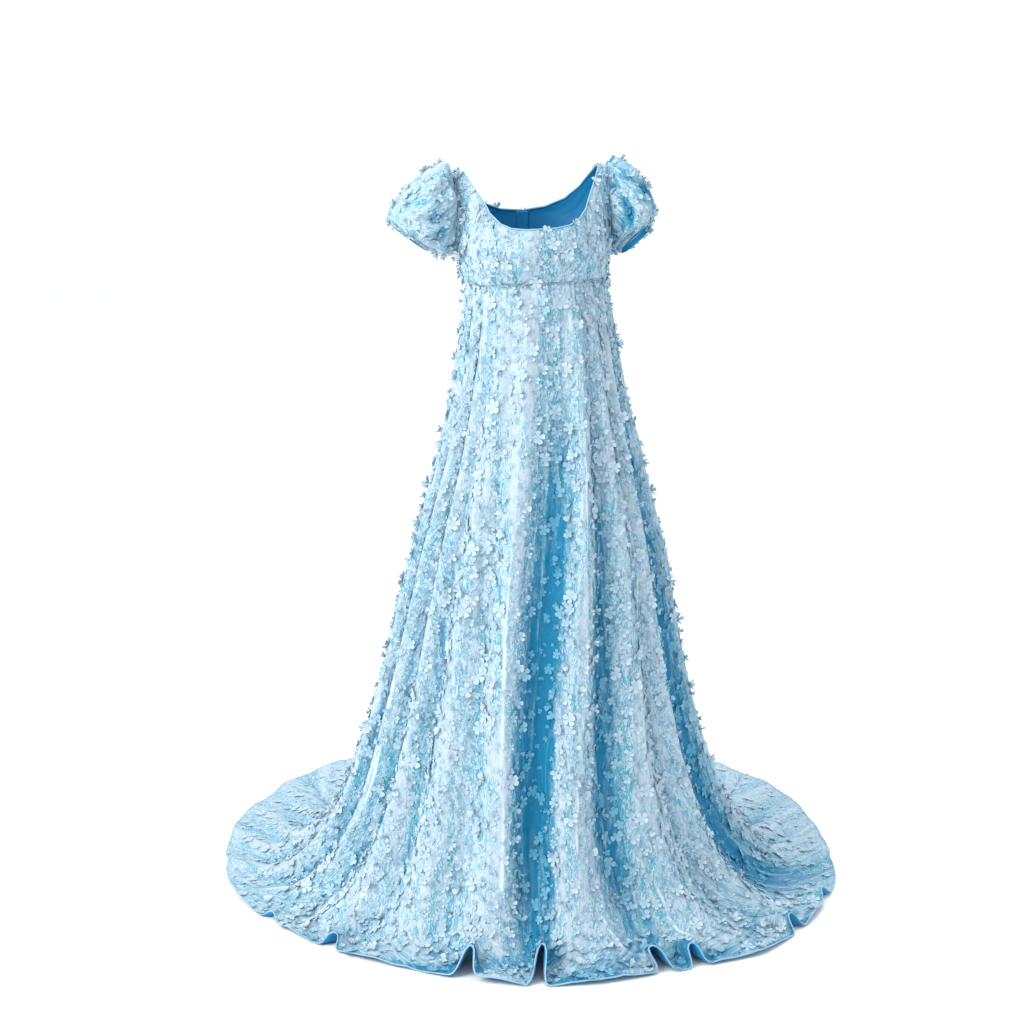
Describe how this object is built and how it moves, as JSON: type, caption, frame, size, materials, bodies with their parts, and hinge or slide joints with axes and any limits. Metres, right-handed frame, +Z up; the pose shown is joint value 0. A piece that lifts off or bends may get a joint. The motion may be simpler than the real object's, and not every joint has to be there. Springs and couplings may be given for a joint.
{
  "type": "regency gown",
  "caption": "High-waisted regency gown with a scooped neck, short puff sleeves and a long gathered skirt with a train, worn open and hollow.",
  "frame": {"origin": "middle of the shoulder line, level with the tops of the straps, where the wearer holds the gown up", "axes": "+Z up, the front faces -Y and the train runs to +Y, +X is the wearer's left"},
  "size_m": [1.4089, 1.7418, 1.5942],
  "materials": {
    "dress_fabric": "satin with ribbon texture and small raised flowers",
    "facing_satin": "plain satin"
  },
  "bodies": {
    "root": {"back_placket": "facing_satin", "bodice_back_left": "dress_fabric", "bodice_back_right": "dress_fabric", "bodice_front_centre": "dress_fabric", "bodice_front_side_left": "dress_fabric", "bodice_front_side_right": "dress_fabric", "cuff_left": "dress_fabric", "cuff_right": "dress_fabric", "hem_facing_front": "facing_satin", "hem_facing_left": "facing_satin", "hem_facing_right": "facing_satin", "skirt_back_left": "dress_fabric", "skirt_back_right": "dress_fabric", "skirt_front": "dress_fabric", "skirt_side_left": "dress_fabric", "skirt_side_right": "dress_fabric", "sleeve_left": "dress_fabric", "sleeve_right": "dress_fabric"}
  },
  "joints": []
}
